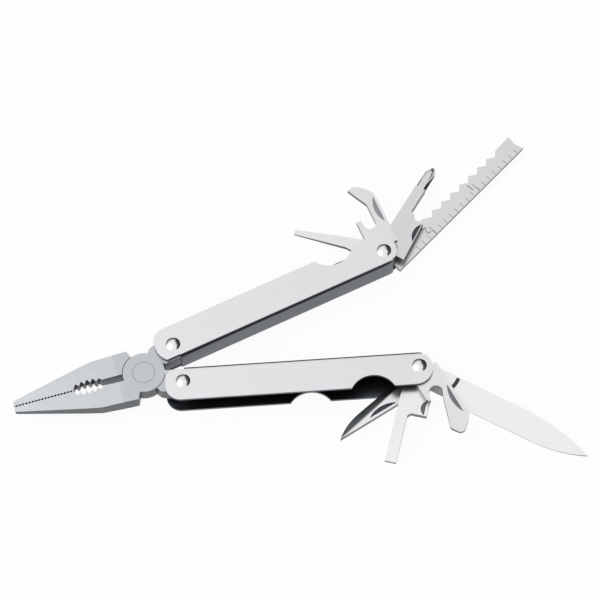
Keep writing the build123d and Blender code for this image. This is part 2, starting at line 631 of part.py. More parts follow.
def on_lower(solid, spin=0.0, x=0.0):
    """Mirror image of on_upper, below the centre line."""
    return mirror(on_upper(solid, spin, x), about=Plane.XZ)


def upper_tool(solid, swing, z):
    """Tool drawn with its spine toward +Y, swung out of the upper handle."""
    return on_upper(Pos(0, 0, z) * mirror(solid, about=Plane.XZ), 180 - swing, PIN_SPACING)


def lower_tool(solid, swing, z):
    """Tool drawn with its spine toward +Y, swung out of the lower handle."""
    return on_lower(Pos(0, 0, z) * mirror(solid, about=Plane.XZ), 180 - swing, PIN_SPACING)


def head_nodes():
    """The crossed pliers halves and their rivet."""
    lift = Pos(0, 0, HEAD_MID)
    return {
        "front_pliers_half": lift * head_half(),
        "rear_pliers_half": lift * Rot(180, 0, 0) * head_half(),
        "jaw_pivot_rivet": lift * pivot_rivet(),
    }


def handle_nodes(side, place):
    """One handle with its two rivets and the rings that hold the tang forward in the channel."""
    return {
        f"{side}_handle_channel": place(handle()),
        f"{side}_tang_rivet": place(domed_pin()),
        f"{side}_tool_rivet": place(domed_pin(), x=PIN_SPACING),
        f"{side}_rear_spacer": place(ring(INNER_BACK, HEAD_BACK)),
        f"{side}_front_washer": place(ring(HEAD_FRONT, INNER_FRONT)),
    }


def tool_nodes():
    """The eight tools, back to front in each handle."""
    upper = stack_levels(UPPER_STACK)
    lower = stack_levels(LOWER_STACK)
    return {
        "fish_scaler_ruler": upper_tool(ruler(), RULER_SWING, upper[0]),
        "phillips_driver": upper_tool(phillips_driver(), PHILLIPS_SWING, upper[1]),
        "small_flat_driver": upper_tool(small_driver(), SMALL_DRIVER_SWING, upper[2]),
        "can_opener": upper_tool(can_opener(), CAN_OPENER_SWING, upper[3]),
        "knife_blade": lower_tool(knife(), KNIFE_SWING, lower[0]),
        "small_blade": lower_tool(small_blade(), SMALL_BLADE_SWING, lower[1]),
        "wide_flat_driver": lower_tool(wide_driver(), WIDE_DRIVER_SWING, lower[2]),
        "bottle_opener": lower_tool(bottle_opener(), BOTTLE_OPENER_SWING, lower[3]),
    }


def build():
    """All nodes, with the bottom centre of the whole bounding box at the origin."""
    nodes = head_nodes()
    nodes |= handle_nodes("upper", on_upper)
    nodes |= handle_nodes("lower", on_lower)
    nodes |= tool_nodes()
    box = Compound(list(nodes.values())).bounding_box()
    centre = Pos(-(box.min.X + box.max.X) / 2, -(box.min.Y + box.max.Y) / 2, -box.min.Z)
    print("jaw pivot at", centre.position)
    return {name: centre * solid for name, solid in nodes.items()}


os.makedirs("parts", exist_ok=True)
for node_name, node in build().items():
    export_step(node, f"parts/{node_name}.step")
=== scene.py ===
"""Studio scene of a folding multi tool: finishes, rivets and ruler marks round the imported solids."""
from __future__ import annotations

import json
import logging
import math
from dataclasses import dataclass, field
from enum import Enum
from typing import Callable, Iterable

import bmesh
import bpy
from mathutils import Matrix, Vector

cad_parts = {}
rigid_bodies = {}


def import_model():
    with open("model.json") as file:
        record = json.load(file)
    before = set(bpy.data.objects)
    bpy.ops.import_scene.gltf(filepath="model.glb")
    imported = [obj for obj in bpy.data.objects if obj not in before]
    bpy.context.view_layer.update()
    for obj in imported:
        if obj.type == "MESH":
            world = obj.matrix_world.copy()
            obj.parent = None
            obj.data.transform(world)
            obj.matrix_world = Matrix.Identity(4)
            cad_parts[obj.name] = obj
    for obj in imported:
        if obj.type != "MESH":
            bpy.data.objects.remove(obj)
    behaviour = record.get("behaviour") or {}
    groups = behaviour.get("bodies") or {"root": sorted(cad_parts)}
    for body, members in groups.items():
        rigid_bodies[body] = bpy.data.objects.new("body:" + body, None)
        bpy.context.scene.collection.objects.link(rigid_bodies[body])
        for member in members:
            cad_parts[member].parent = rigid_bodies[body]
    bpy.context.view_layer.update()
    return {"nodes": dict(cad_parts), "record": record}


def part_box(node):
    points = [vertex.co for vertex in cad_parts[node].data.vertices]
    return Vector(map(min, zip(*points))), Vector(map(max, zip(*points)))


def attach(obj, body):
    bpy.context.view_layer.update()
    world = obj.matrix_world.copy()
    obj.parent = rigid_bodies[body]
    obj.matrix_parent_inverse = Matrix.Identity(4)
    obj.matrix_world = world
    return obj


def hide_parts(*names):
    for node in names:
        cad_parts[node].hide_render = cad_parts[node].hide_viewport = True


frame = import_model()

LOG = logging.getLogger("multi_tool")
MM = 0.001
INCH = 25.4
Colour = tuple[float, float, float]


class Side(Enum):
    """Which handle a piece belongs to."""

    UPPER = 1
    LOWER = -1


# ---------------------------------------------------------------- shader maths
class Graph:
    """One node tree, with a single method that makes its nodes."""

    def __init__(self, tree: bpy.types.NodeTree) -> None:
        """Start with an empty tree."""
        self.tree = tree
        tree.nodes.clear()

    def node(self, kind: str, settings: dict | None = None, values: dict | None = None) -> bpy.types.Node:
        """Make a node.

        Args:
            kind: Blender's type name.
            settings: properties, set before anything is linked.
            values: socket name or index to a number, a colour, a Wire or a socket.

        Returns:
            The new node.
        """
        made = self.tree.nodes.new(kind)
        for name, value in (settings or {}).items():
            setattr(made, name, value)
        for key, value in (values or {}).items():
            if isinstance(value, Wire):
                value = value.socket
            if isinstance(value, bpy.types.NodeSocket):
                self.tree.links.new(value, made.inputs[key])
            else:
                made.inputs[key].default_value = value
        return made

    def wire(self, kind: str, output: str | int, settings: dict | None = None,
             values: dict | None = None) -> Wire:
        """Make a node and wrap one of its outputs."""
        return Wire(self, self.node(kind, settings, values).outputs[output])

    def mix(self, mask: Wire, low: object, high: object) -> Wire:
        """Colour that goes from low to high as the mask goes from 0 to 1."""
        settings = {"data_type": "RGBA", "clamp_factor": True}
        low, high = (value if isinstance(value, Wire) else (*value, 1.0) for value in (low, high))
        return self.wire("ShaderNodeMix", 2, settings, {0: mask, 6: low, 7: high})


class Wire:
    """A value socket that can be used in Python arithmetic."""

    def __init__(self, graph: Graph, socket: bpy.types.NodeSocket) -> None:
        """Wrap a socket of a graph."""
        self.graph = graph
        self.socket = socket

    def _math(self, operation: str, *values: object) -> Wire:
        """Add a Math node on the given values."""
        return self.graph.wire("ShaderNodeMath", 0, {"operation": operation}, dict(enumerate(values)))

    def __add__(self, other: object) -> Wire:
        """self + other."""
        return self._math("ADD", self, other)

    def __radd__(self, other: object) -> Wire:
        """other + self."""
        return self._math("ADD", other, self)

    def __sub__(self, other: object) -> Wire:
        """self - other."""
        return self._math("SUBTRACT", self, other)

    def __rsub__(self, other: object) -> Wire:
        """other - self."""
        return self._math("SUBTRACT", other, self)

    def __mul__(self, other: object) -> Wire:
        """self * other."""
        return self._math("MULTIPLY", self, other)

    def __rmul__(self, other: object) -> Wire:
        """other * self."""
        return self._math("MULTIPLY", other, self)

    def __abs__(self) -> Wire:
        """Absolute value."""
        return self._math("ABSOLUTE", self)

    def over(self, edge: float, soft: float = 0.02) -> Wire:
        """1 where the value is above an edge, 0 below it, with a soft step."""
        values = {"Value": self, "From Min": edge - soft, "From Max": edge + soft}
        return self.graph.wire("ShaderNodeMapRange", 0, {"interpolation_type": "SMOOTHSTEP"}, values)

    def within(self, low: float, high: float, soft: float = 0.02) -> Wire:
        """1 where the value lies between two limits."""
        return self.over(low, soft) * (1 - self.over(high, soft))

    def peak(self, other: object) -> Wire:
        """The larger of two values."""
        return self._math("MAXIMUM", self, other)


# ---------------------------------------------------------------- places
@dataclass(frozen=True)
class Axes:
    """A piece's own flat axes: its pin, the way it points and its upper side, in mm of the row frame."""

    pin: Vector
    along: Vector
    across: Vector

    def matrix(self, z: float = 0.0) -> Matrix:
        """Matrix from the piece's own millimetres, lying at height z, to metres of the row frame."""
        up = Vector((0, 0, 1))
        turn = Matrix((self.along, self.across, up)).transposed().to_4x4()
        return Matrix.Translation((*(self.pin.xy * MM), z * MM)) @ turn @ Matrix.Scale(MM, 4)


def heading(degrees: float) -> Vector:
    """Unit vector in the XY plane."""
    return Vector((math.cos(math.radians(degrees)), math.sin(math.radians(degrees)), 0.0))


class Layout:
    """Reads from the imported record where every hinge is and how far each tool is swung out."""

    def __init__(self, record: dict) -> None:
        """Index the joints by the body that they move."""
        self.joints = {joint["child"]: joint for joint in record["behaviour"]["joints"]}

    def pin(self, body: str) -> Vector:
        """Hinge of a body, in millimetres."""
        return Vector(self.joints[body]["pos_m"]) / MM

    def handle(self, side: Side) -> Axes:
        """Axes of a handle: along it from the tang pin, and across it toward its open edge."""
        body = f"{side.name.lower()}_handle"
        tool = next(joint for joint in self.joints.values() if joint["parent"] == body)
        along = (Vector(tool["pos_m"]) / MM - self.pin(body)).normalized()
        return Axes(self.pin(body), along, Vector((-along.y, along.x, 0)) * side.value)

    def tool(self, body: str) -> Axes:
        """Axes of a tool: along it from its pin, and across it toward its spine."""
        joint = self.joints[body]
        side = Side.UPPER if joint["parent"] == "upper_handle" else Side.LOWER
        base = self.handle(side).along
        swing = -joint["range_deg"][0]
        angle = math.degrees(math.atan2(base.y, base.x)) + side.value * (180 - swing)
        return Axes(self.pin(body), heading(angle), heading(angle - 90 * side.value))

    def head(self) -> Axes:
        """Axes of the pliers head: from the jaw pivot toward the jaw tips."""
        return Axes(self.pin("rear_half"), Vector((-1, 0, 0)), Vector((0, -1, 0)))


# ---------------------------------------------------------------- finishes
@dataclass(frozen=True)
class Place:
    """What masks are worked out from: along, across and height in mm, and the normal's upright share."""

    x: Wire
    y: Wire
    z: Wire
    upright: Wire


Mask = Callable[[Place], Wire]

FLAT = 0.9                       # upright share of the normal above which a face lies flat
FLAT_STEP = (FLAT, 0.07)         # the same, with the softness of the step
BEND_STEP = (0.45, 0.3)          # upright share at which a wall turns into a bend
GRAIN_UP = 0.5                   # how fast the grain changes per mm of height
GRAIN_ROUGHNESS = 0.12           # how far the grain moves the roughness
CLOUD = (0.12, 0.25, 0.1)        # how fast the broad clouds change per mm along, across and up


@dataclass(frozen=True)
class Mark:
    """A region of a piece with a painted tone, such as painted shade on the floor of a nail nick or a painted
    dark reflection on a ground bevel.
    """

    mask: Mask
    tone: Colour


@dataclass(frozen=True)
class Steel:
    """Finish of one kind of steel: its polished faces, its rougher cut edges and its brushed grain. Its edge
    and bend tones are painted shade and reflection, set by how far a face tilts, and its marks are painted
    shade and painted reflections.
    """

    face: Colour
    # Tones of the walls and of the bends: painted shade and reflection, given by how far a face tilts.
    edge: Colour
    bend: Colour
    roughness: float = 0.3
    edge_roughness: float = 0.42
    grain: float = 0.45
    streak: float = 16.0
    unevenness: float = 0.04
    marks: tuple[Mark, ...] = field(default=())

    def place(self, graph: Graph, axes: Axes) -> Place:
        """Object coordinates turned into a piece's own axes."""
        coordinates = graph.node("ShaderNodeTexCoord")
        offset = graph.wire("ShaderNodeVectorMath", 0, {"operation": "SUBTRACT"},
                            {0: coordinates.outputs["Object"], 1: (*(axes.pin.xy * MM), 0.0)})
        x, y = (graph.wire("ShaderNodeVectorMath", "Value", {"operation": "DOT_PRODUCT"},
                           {0: offset, 1: direction / MM}) for direction in (axes.along, axes.across))
        height = graph.wire("ShaderNodeSeparateXYZ", 2, None, {0: offset}) * (1 / MM)
        normal = graph.wire("ShaderNodeSeparateXYZ", 2, None, {0: coordinates.outputs["Normal"]})
        return Place(x, y, height, abs(normal))

    def material(self, name: str, axes: Axes) -> bpy.types.Material:
        """Build the finish for one piece.

        Args:
            name: name of the material.
            axes: the piece's own axes, along which the grain runs.

        Returns:
            The material.
        """
        material = bpy.data.materials.new(name)
        material.use_nodes = True
        graph = Graph(material.node_tree)
        place = self.place(graph, axes)
        fibre = {0: place.x * (1 / self.streak), 1: place.y * (1 / self.grain), 2: place.z * GRAIN_UP}
        grain_at = graph.wire("ShaderNodeCombineXYZ", 0, None, fibre)
        grain = graph.wire("ShaderNodeTexNoise", 0, None, {"Vector": grain_at, "Scale": 1.0, "Detail": 4.0})
        drift = (axis * rate for axis, rate in zip((place.x, place.y, place.z), CLOUD))
        cloud_at = graph.wire("ShaderNodeCombineXYZ", 0, None, dict(enumerate(drift)))
        cloud = graph.wire("ShaderNodeTexNoise", 0, None, {"Vector": cloud_at, "Scale": 1.0, "Detail": 2.0})
        # Faces get the edge, bend or face tone by their tilt, so the edge and bend tones are painted shade
        # and reflection.
        flat = place.upright.over(*FLAT_STEP)
        side = place.upright.over(*BEND_STEP)
        tone = graph.mix(side, self.edge, self.bend)
        tone = graph.mix(flat, tone, self.face)
        # Each mark lays painted shade or a painted dark reflection over the tone.
        for mark in self.marks:
            tone = graph.mix(mark.mask(place), tone, mark.tone)
        shade = 1 - self.unevenness * (cloud + grain)
        tone = graph.wire("ShaderNodeVectorMath", 0, {"operation": "SCALE"}, {0: tone, "Scale": shade})
        roughness = self.edge_roughness + flat * (self.roughness - self.edge_roughness)
        roughness = roughness + (grain - 0.5) * GRAIN_ROUGHNESS
        shader = graph.node("ShaderNodeBsdfPrincipled", None,
                            {"Base Color": tone, "Metallic": 1.0, "Roughness": roughness})
        graph.node("ShaderNodeOutputMaterial", None, {0: shader.outputs[0]})
        return material


def band(axis: str, low: float, high: float, soft: float = 0.05) -> Mask:
    """Mask of a band across one of a piece's own axes."""
    return lambda place: getattr(place, axis).within(low, high, soft)


def facing_up(place: Place) -> Wire:
    """Mask of the faces that lie flat."""
    return place.upright.over(FLAT)


def sloping(edge: float, soft: float) -> Mask:
    """Mask of the faces that lean over further than an upright share of the normal."""
    return lambda place: 1 - place.upright.over(edge, soft)


def below(edge: float, soft: float) -> Mask:
    """Mask of what lies on the cutting side of a line along the piece."""
    return lambda place: 1 - place.y.over(edge, soft)


def both(*masks: Mask) -> Mask:
    """Mask of the region that lies in all the given ones."""
    def region(place: Place) -> Wire:
        """Product of the masks."""
        product = masks[0](place)
        for mask in masks[1:]:
            product = product * mask(place)
        return product
    return region


ARC_SOFT = 0.01                  # softness of a crescent's arcs, as a share of the squared radius
END_SOFT = 0.3                   # softness of its ends, in mm
CRESCENT_STEP = (0.8, 0.05)      # upright share of the faces that it may lie on


def crescent(centre: tuple[float, float], radius: float, offset: float, low: float, high: float) -> Mask:
    """Mask of a thin crescent between two round arcs.

    Args:
        centre: centre of the first arc, in the piece's own mm.
        radius: radius of both arcs, in mm.
        offset: how far along the piece the second arc lies, in mm.
        low: where the crescent starts across the piece, in mm.
        high: where it ends across the piece, in mm.

    Returns:
        The mask.
    """
    def region(place: Place) -> Wire:
        """Outside the first circle and inside the second."""
        def reach(x0: float) -> Wire:
            """Squared distance from a centre, over the squared radius."""
            dx, dy = place.x - x0, place.y - centre[1]
            return (dx * dx + dy * dy) * (1 / radius ** 2)
        ring = reach(centre[0]).over(1.0, ARC_SOFT) * (1 - reach(centre[0] + offset).over(1.0, ARC_SOFT))
        return ring * place.y.within(low, high, END_SOFT) * place.upright.over(*CRESCENT_STEP)
    return region


@dataclass(frozen=True)
class Nick:
    """Nail nick of a tool: where it starts and ends along the tool, in mm, and the tone of the painted shade
    on its floor.
    """

    start: float
    end: float
    tone: Colour = (0.062, 0.070, 0.080)
    deepest: float = 0.7
    shallowest: float = 0.3

    def mark(self, front: float) -> Mark:
        """Painted shade on the floor of the nick in a tool whose front face is at the height front."""
        floor = band("z", front - self.deepest, front - self.shallowest)
        return Mark(both(band("x", self.start, self.end), floor, facing_up), self.tone)


# Tones of painted shade and painted dark reflection.
DARK = (0.03, 0.032, 0.035)
INSIDE_SHADE_TONE = (0.10, 0.11, 0.12)
GROUND_REFLECTION_TONE = (0.115, 0.125, 0.132)
PLUNGE_REFLECTION_TONE = (0.055, 0.06, 0.065)
SEAM_HALF = 0.14                 # half the width of the dark line where the jaws meet, in mm
SEAM_SPAN = (27.5, 50.6)         # where that line starts and ends, in mm from the jaw pivot
# Painted shade: a dark line on the jaws' flat faces where the two jaws meet.
SEAM_SHADE = Mark(both(band("y", -SEAM_HALF, SEAM_HALF), band("x", *SEAM_SPAN), facing_up), DARK)
# Painted shade on the floors of the nail nicks, darkest in the deep nicks.
NICK_SHADES = {
    "phillips_driver": Nick(10.5, 19.8),
    "can_opener": Nick(11.5, 23.8, (0.30, 0.31, 0.33)),
    "small_blade": Nick(14.5, 27.2),
    "wide_flat_driver": Nick(11.8, 18.6, (0.15, 0.15, 0.165)),
    "bottle_opener": Nick(11.2, 24.6, (0.19, 0.195, 0.21)),
}
# Painted dark reflections: on the sloping flute faces of the Phillips tip, along the knife's plunge line and
# on the small blade's ground bevel.
PAINTED_REFLECTIONS = {
    "phillips_driver": Mark(both(band("x", 32.6, 44.0, 0.6), sloping(0.8, 0.12)), DARK),
    "knife_blade": Mark(crescent((0.9, 4.6), 12.4, 1.5, 0.6, 5.6), PLUNGE_REFLECTION_TONE),
    "small_blade": Mark(both(band("x", 9.5, 50.0, 0.5), below(-0.9, 0.5)), GROUND_REFLECTION_TONE),
}


# ---------------------------------------------------------------- meshes
def finish(node: str, material: bpy.types.Material) -> None:
    """Give a CAD node its material, in every slot that it has."""
    mesh = frame["nodes"][node].data
    if not mesh.materials:
        mesh.materials.append(material)
    for index in range(len(mesh.materials)):
        mesh.materials[index] = material
    LOG.info("%s: %s", node, material.name)


def add_piece(name: str, mesh: bpy.types.Mesh, material: bpy.types.Material, body: str) -> bpy.types.Object:
    """Put a finished mesh into the scene as a piece that rides on a body.

    Args:
        name: the piece's name.
        mesh: mesh in metres of the row frame.
        material: its finish.
        body: CAD body that it moves with.

    Returns:
        The new object.
    """
    mesh.name = name
    mesh.materials.clear()
    mesh.materials.append(material)
    piece = bpy.data.objects.new(name, mesh)
    bpy.context.scene.collection.objects.link(piece)
    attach(piece, body)
    LOG.info("%s: %d faces on %s", name, len(mesh.polygons), body)
    return piece


def turned(profile: Iterable[tuple[float, float]], segments: int = 72) -> bpy.types.Mesh:
    """Closed round mesh from a profile of (radius, height) that starts and ends on the axis, in mm."""
    shape = bmesh.new()
    rows = []
    for radius, height in profile:
        count = segments if radius > 0 else 1
        turns = (math.tau * step / count for step in range(count))
        rows.append([shape.verts.new((radius * math.cos(t), radius * math.sin(t), height)) for t in turns])
    for low, high in zip(rows, rows[1:]):
        for step in range(segments):
            following = (step + 1) % segments
            corners = [low[step % len(low)], low[following % len(low)], high[following % len(high)],
                       high[step % len(high)]]
            shape.faces.new(list(dict.fromkeys(corners)))
    bmesh.ops.recalc_face_normals(shape, faces=shape.faces)
    mesh = bpy.data.meshes.new("turned")
    shape.to_mesh(mesh)
    shape.free()
    return mesh


def smooth(mesh: bpy.types.Mesh, angle: float = 35.0) -> None:
    """Shade a mesh smooth, except across edges sharper than an angle in degrees."""
    mesh.polygons.foreach_set("use_smooth", [True] * len(mesh.polygons))
    mesh.set_sharp_from_angle(angle=math.radians(angle))


# ---------------------------------------------------------------- sub-assemblies
@dataclass
class PliersHead:
    """The crossed pliers halves and their flush rivet."""

    layout: Layout
    # Satin steel; its darker edge and bend tones are painted shade and reflection, and the seam mark is
    # painted shade.
    steel: Steel = Steel(face=(0.56, 0.58, 0.60), edge=(0.15, 0.16, 0.17), bend=(0.34, 0.35, 0.37),
                         roughness=0.34, unevenness=0.09, marks=(SEAM_SHADE,))
    nodes: tuple[str, ...] = ("front_pliers_half", "rear_pliers_half", "jaw_pivot_rivet")

    def dress(self) -> None:
        """Give the three solids their satin finish, with painted shade and reflection in the edge and bend
        tones and painted shade along the jaws' seam.
        """
        for name in self.nodes:
            finish(name, self.steel.material(f"{name}_satin", self.layout.head()))


@dataclass
class RivetShape:
    """Polished rivet with a round dome at each end, in millimetres."""

    shank: float = 1.99
    head: float = 2.75
    dome: float = 0.9
    steps: int = 14

    def profile(self, low: float, high: float) -> list[tuple[float, float]]:
        """Outline from the bottom pole to the top one."""
        ball = (self.head ** 2 + self.dome ** 2) / (2 * self.dome)
        reach = math.asin(self.head / ball)
        cap = [(ball * math.sin(reach * i / self.steps), ball * (1 - math.cos(reach * i / self.steps)))
               for i in range(self.steps + 1)]
        bottom = [(radius, low + sink) for radius, sink in cap]
        top = [(radius, high - sink) for radius, sink in reversed(cap)]
        return bottom + [(self.shank, low + self.dome), (self.shank, high - self.dome)] + top


@dataclass
class Handle:
    """One folded channel with its two rivets, washer and spacer. Lengths are in mm from the tang pin."""

    layout: Layout
    side: Side
    sheet: float = 1.1
    web_inside: float = 4.85
    open_rise: float = 7.6
    notch_at: float = 47.75
    notch_radius: float = 9.2
    notch_depth: float = 4.1
    notch_segments: int = 96
    cut_below: float = 2.0
    cut_above: float = 1.0
    weld: float = 0.0002
    inside_overlap: float = 0.05
    wall_below: float = 0.02
    plate_above: float = 0.9995
    rivet: RivetShape = field(default_factory=RivetShape)
    polish: Steel = Steel(face=(0.80, 0.81, 0.83), edge=(0.80, 0.81, 0.83), bend=(0.80, 0.81, 0.83),
                          roughness=0.10, edge_roughness=0.10, unevenness=0.02)
    plain: Steel = Steel(face=(0.3, 0.3, 0.31), edge=(0.12, 0.12, 0.13), bend=(0.2, 0.2, 0.2))

    @property
    def body(self) -> str:
        """Name of the CAD body."""
        return f"{self.side.name.lower()}_handle"

    def sheet_steel(self) -> Steel:
        """Satin sheet with pale plates; its grey web and darker bends are painted reflection and shade by
        tilt, and its darker inside is painted shade.
        """
        low, high = (corner[2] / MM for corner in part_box(f"{self.body}_channel"))
        reach = self.sheet - self.inside_overlap
        # Painted shade: the inside of the channel, between its plates and behind the web, is darkened.
        inside = both(band("z", low + reach, high - reach), lambda place: place.y.over(-self.web_inside))
        return Steel(face=(0.78, 0.78, 0.80), edge=(0.155, 0.165, 0.19), bend=(0.06, 0.065, 0.075),
                     roughness=0.3, marks=(Mark(inside, INSIDE_SHADE_TONE),))

    def notched(self, axes: Axes) -> bpy.types.Mesh:
        """Copy of the sheet with the second thumb notch cut into its back plate.

        Args:
            axes: the handle's own axes.

        Returns:
            The new mesh, in metres of the row frame. Its bends are shaded smooth and the rest flat.
        """
        shape = bmesh.new()
        shape.from_mesh(frame["nodes"][f"{self.body}_channel"].data)
        bmesh.ops.remove_doubles(shape, verts=shape.verts, dist=self.weld * MM)
        sheet = bpy.data.meshes.new("sheet")
        shape.to_mesh(sheet)
        shape.free()
        radius, low, high = self.notch_radius, -self.cut_below, 2 * self.sheet + self.cut_above
        cutter = turned([(0, low), (radius, low), (radius, high), (0, high)], self.notch_segments)
        centre = Vector((self.notch_at, self.open_rise + radius - self.notch_depth, 0))
        cutter.transform(axes.matrix() @ Matrix.Translation(centre))
        if axes.matrix().determinant() < 0:
            cutter.flip_normals()
        blank, tool = (bpy.data.objects.new(mesh.name, mesh) for mesh in (sheet, cutter))
        for made in (blank, tool):
            bpy.context.scene.collection.objects.link(made)
        cut = blank.modifiers.new("notch", "BOOLEAN")
        cut.operation = "DIFFERENCE"
        cut.solver = "EXACT"
        cut.object = tool
        mesh = bpy.data.meshes.new_from_object(blank.evaluated_get(bpy.context.evaluated_depsgraph_get()))
        for made in (blank, tool):
            bpy.data.objects.remove(made)
        for facet in mesh.polygons:
            facet.use_smooth = self.wall_below < abs(facet.normal.z) < self.plate_above
        return mesh

    def build(self) -> None:
        """Put the twice-notched sheet and smooth rivets in place of the plainer ones, and dress the rings."""
        axes = self.layout.handle(self.side)
        sheet = add_piece(f"{self.body}_sheet", self.notched(axes),
                          self.sheet_steel().material(f"{self.body}_satin", axes), self.body)
        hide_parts(f"{self.body}_channel")
        name = self.side.name.lower()
        for ring in ("rear_spacer", "front_washer"):
            finish(f"{name}_{ring}", self.plain.material(f"{name}_{ring}_steel", axes))
        tool = next(j["child"] for j in self.layout.joints.values() if j["parent"] == self.body)
        for node, pin in (("tang_rivet", self.layout.pin(self.body)), ("tool_rivet", self.layout.pin(tool))):
            low, high = (corner[2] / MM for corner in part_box(f"{name}_{node}"))
            mesh = turned(self.rivet.profile(low, high))
            mesh.transform(Matrix.Translation((*(pin.xy * MM), 0)) @ Matrix.Scale(MM, 4))
            smooth(mesh)
            chrome = self.polish.material(f"{name}_{node}_chrome", Axes(pin, axes.along, axes.across))
            piece = add_piece(f"{name}_{node}_polished", mesh, chrome, self.body)
            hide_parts(f"{name}_{node}")


@dataclass
class RulerMarks:
    """Engraved graduations and numbers of the ruler edge, in mm and counted from its tip."""

    layout: Layout
    body: str = "fish_scaler_ruler"
    edge: float = 7.5
    tip: float = 73.1
    tick: tuple[float, float, float] = (0.26, 2.2, 0.03)
    inch: tuple[float, float, float] = (0.30, 4.3, 0.03)
    eighths: int = 19
    inches: int = 2
    digit: float = 3.4
    font_share: float = 1.35
    digit_base: float = 2.3
    digit_back: float = 1.7
    weld: float = 0.0001
    ink: Steel = Steel(face=(0.33, 0.335, 0.35), edge=(0.2, 0.2, 0.21), bend=(0.2, 0.2, 0.21), roughness=0.5)

    def line_tree(self) -> bpy.types.GeometryNodeTree:
        """Geometry nodes that set bars in a row along X, each hanging down from the line."""
        tree = bpy.data.node_groups.new("ruler_row", "GeometryNodeTree")
        face = tree.interface
        face.new_socket("Geometry", in_out="INPUT", socket_type="NodeSocketGeometry")
        face.new_socket("Count", in_out="INPUT", socket_type="NodeSocketInt")
        face.new_socket("Pitch", in_out="INPUT", socket_type="NodeSocketFloat")
        face.new_socket("Bar", in_out="INPUT", socket_type="NodeSocketVector")
        face.new_socket("Finish", in_out="INPUT", socket_type="NodeSocketMaterial")
        face.new_socket("Geometry", in_out="OUTPUT", socket_type="NodeSocketGeometry")
        graph = Graph(tree)
        given = graph.node("NodeGroupInput").outputs
        step = graph.wire("ShaderNodeCombineXYZ", 0, None, {0: given["Pitch"]})
        row = graph.wire("GeometryNodeMeshLine", 0, {"mode": "OFFSET"},
                         {"Count": given["Count"], "Start Location": step, "Offset": step})
        bar = graph.wire("GeometryNodeMeshCube", 0, None, {"Size": given["Bar"]})
        drop = graph.wire("ShaderNodeVectorMath", 0, {"operation": "MULTIPLY"},
                          {0: given["Bar"], 1: (0.0, -0.5, 0.0)})
        bar = graph.wire("GeometryNodeTransform", 0, None, {"Geometry": bar, "Translation": drop})
        copies = graph.wire("GeometryNodeInstanceOnPoints", 0, None, {"Points": row, "Instance": bar})
        solid = graph.wire("GeometryNodeRealizeInstances", 0, None, {"Geometry": copies})
        solid = graph.wire("GeometryNodeSetMaterial", 0, None,
                           {"Geometry": solid, "Material": given["Finish"]})
        graph.node("NodeGroupOutput", None, {0: solid})
        return tree

    def row(self, tree: bpy.types.GeometryNodeTree, count: int, pitch: float,
            bar: tuple[float, float, float], material: bpy.types.Material) -> bpy.types.Mesh:
        """Mesh of one row of bars in the ruler's own millimetres, from the tip toward the pin.

        Args:
            tree: the geometry nodes made by line_tree.
            count: number of bars.
            pitch: distance between them.
            bar: size of one bar.
            material: finish of the bars.

        Returns:
            The mesh.
        """
        holder = bpy.data.objects.new("row", bpy.data.meshes.new("row"))
        bpy.context.scene.collection.objects.link(holder)
        modifier = holder.modifiers.new("row", "NODES")
        modifier.node_group = tree
        inputs = {"Count": count, "Pitch": pitch, "Bar": bar, "Finish": material}
        for item in tree.interface.items_tree:
            if item.in_out == "INPUT" and item.name in inputs:
                modifier[item.identifier] = inputs[item.name]
        evaluated = holder.evaluated_get(bpy.context.evaluated_depsgraph_get())
        mesh = bpy.data.meshes.new_from_object(evaluated)
        bpy.data.objects.remove(holder)
        return mesh

    def number(self, text: str) -> bpy.types.Mesh:
        """Thin flat mesh of a number, its middle at x = 0 and its foot at y = 0."""
        curve = bpy.data.curves.new("number", "FONT")
        curve.body = text
        curve.size = self.digit * self.font_share
        curve.align_x = "CENTER"
        curve.extrude = self.tick[2] / 2
        holder = bpy.data.objects.new("number", curve)
        bpy.context.scene.collection.objects.link(holder)
        mesh = bpy.data.meshes.new_from_object(holder.evaluated_get(bpy.context.evaluated_depsgraph_get()))
        bpy.data.objects.remove(holder)
        return mesh

    def build(self) -> None:
        """Make the graduations and numbers and let them ride on the ruler."""
        ruler = self.layout.tool(self.body)
        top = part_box(self.body)[1][2] / MM
        material = self.ink.material("engraved_lines", ruler)
        readable = Axes(ruler.pin + ruler.along * self.tip, -ruler.along, ruler.across)
        flat = readable.matrix(top)
        tree = self.line_tree()
        parts = [(self.row(tree, self.eighths, INCH / 8, self.tick, material), Vector((0, self.edge, 0))),
                 (self.row(tree, self.inches, INCH, self.inch, material), Vector((0, self.edge, 0)))]
        for count in range(1, self.inches + 1):
            foot = Vector((INCH * count + self.digit_back, self.digit_base, 0))
            parts.append((self.number(str(count)), foot))
        joined = bmesh.new()
        for mesh, shift in parts:
            mesh.transform(flat @ Matrix.Translation(shift))
            joined.from_mesh(mesh)
        bmesh.ops.remove_doubles(joined, verts=joined.verts, dist=self.weld * MM)
        result = bpy.data.meshes.new("ruler_marks")
        joined.to_mesh(result)
        joined.free()
        add_piece("ruler_marks", result, material, self.body)


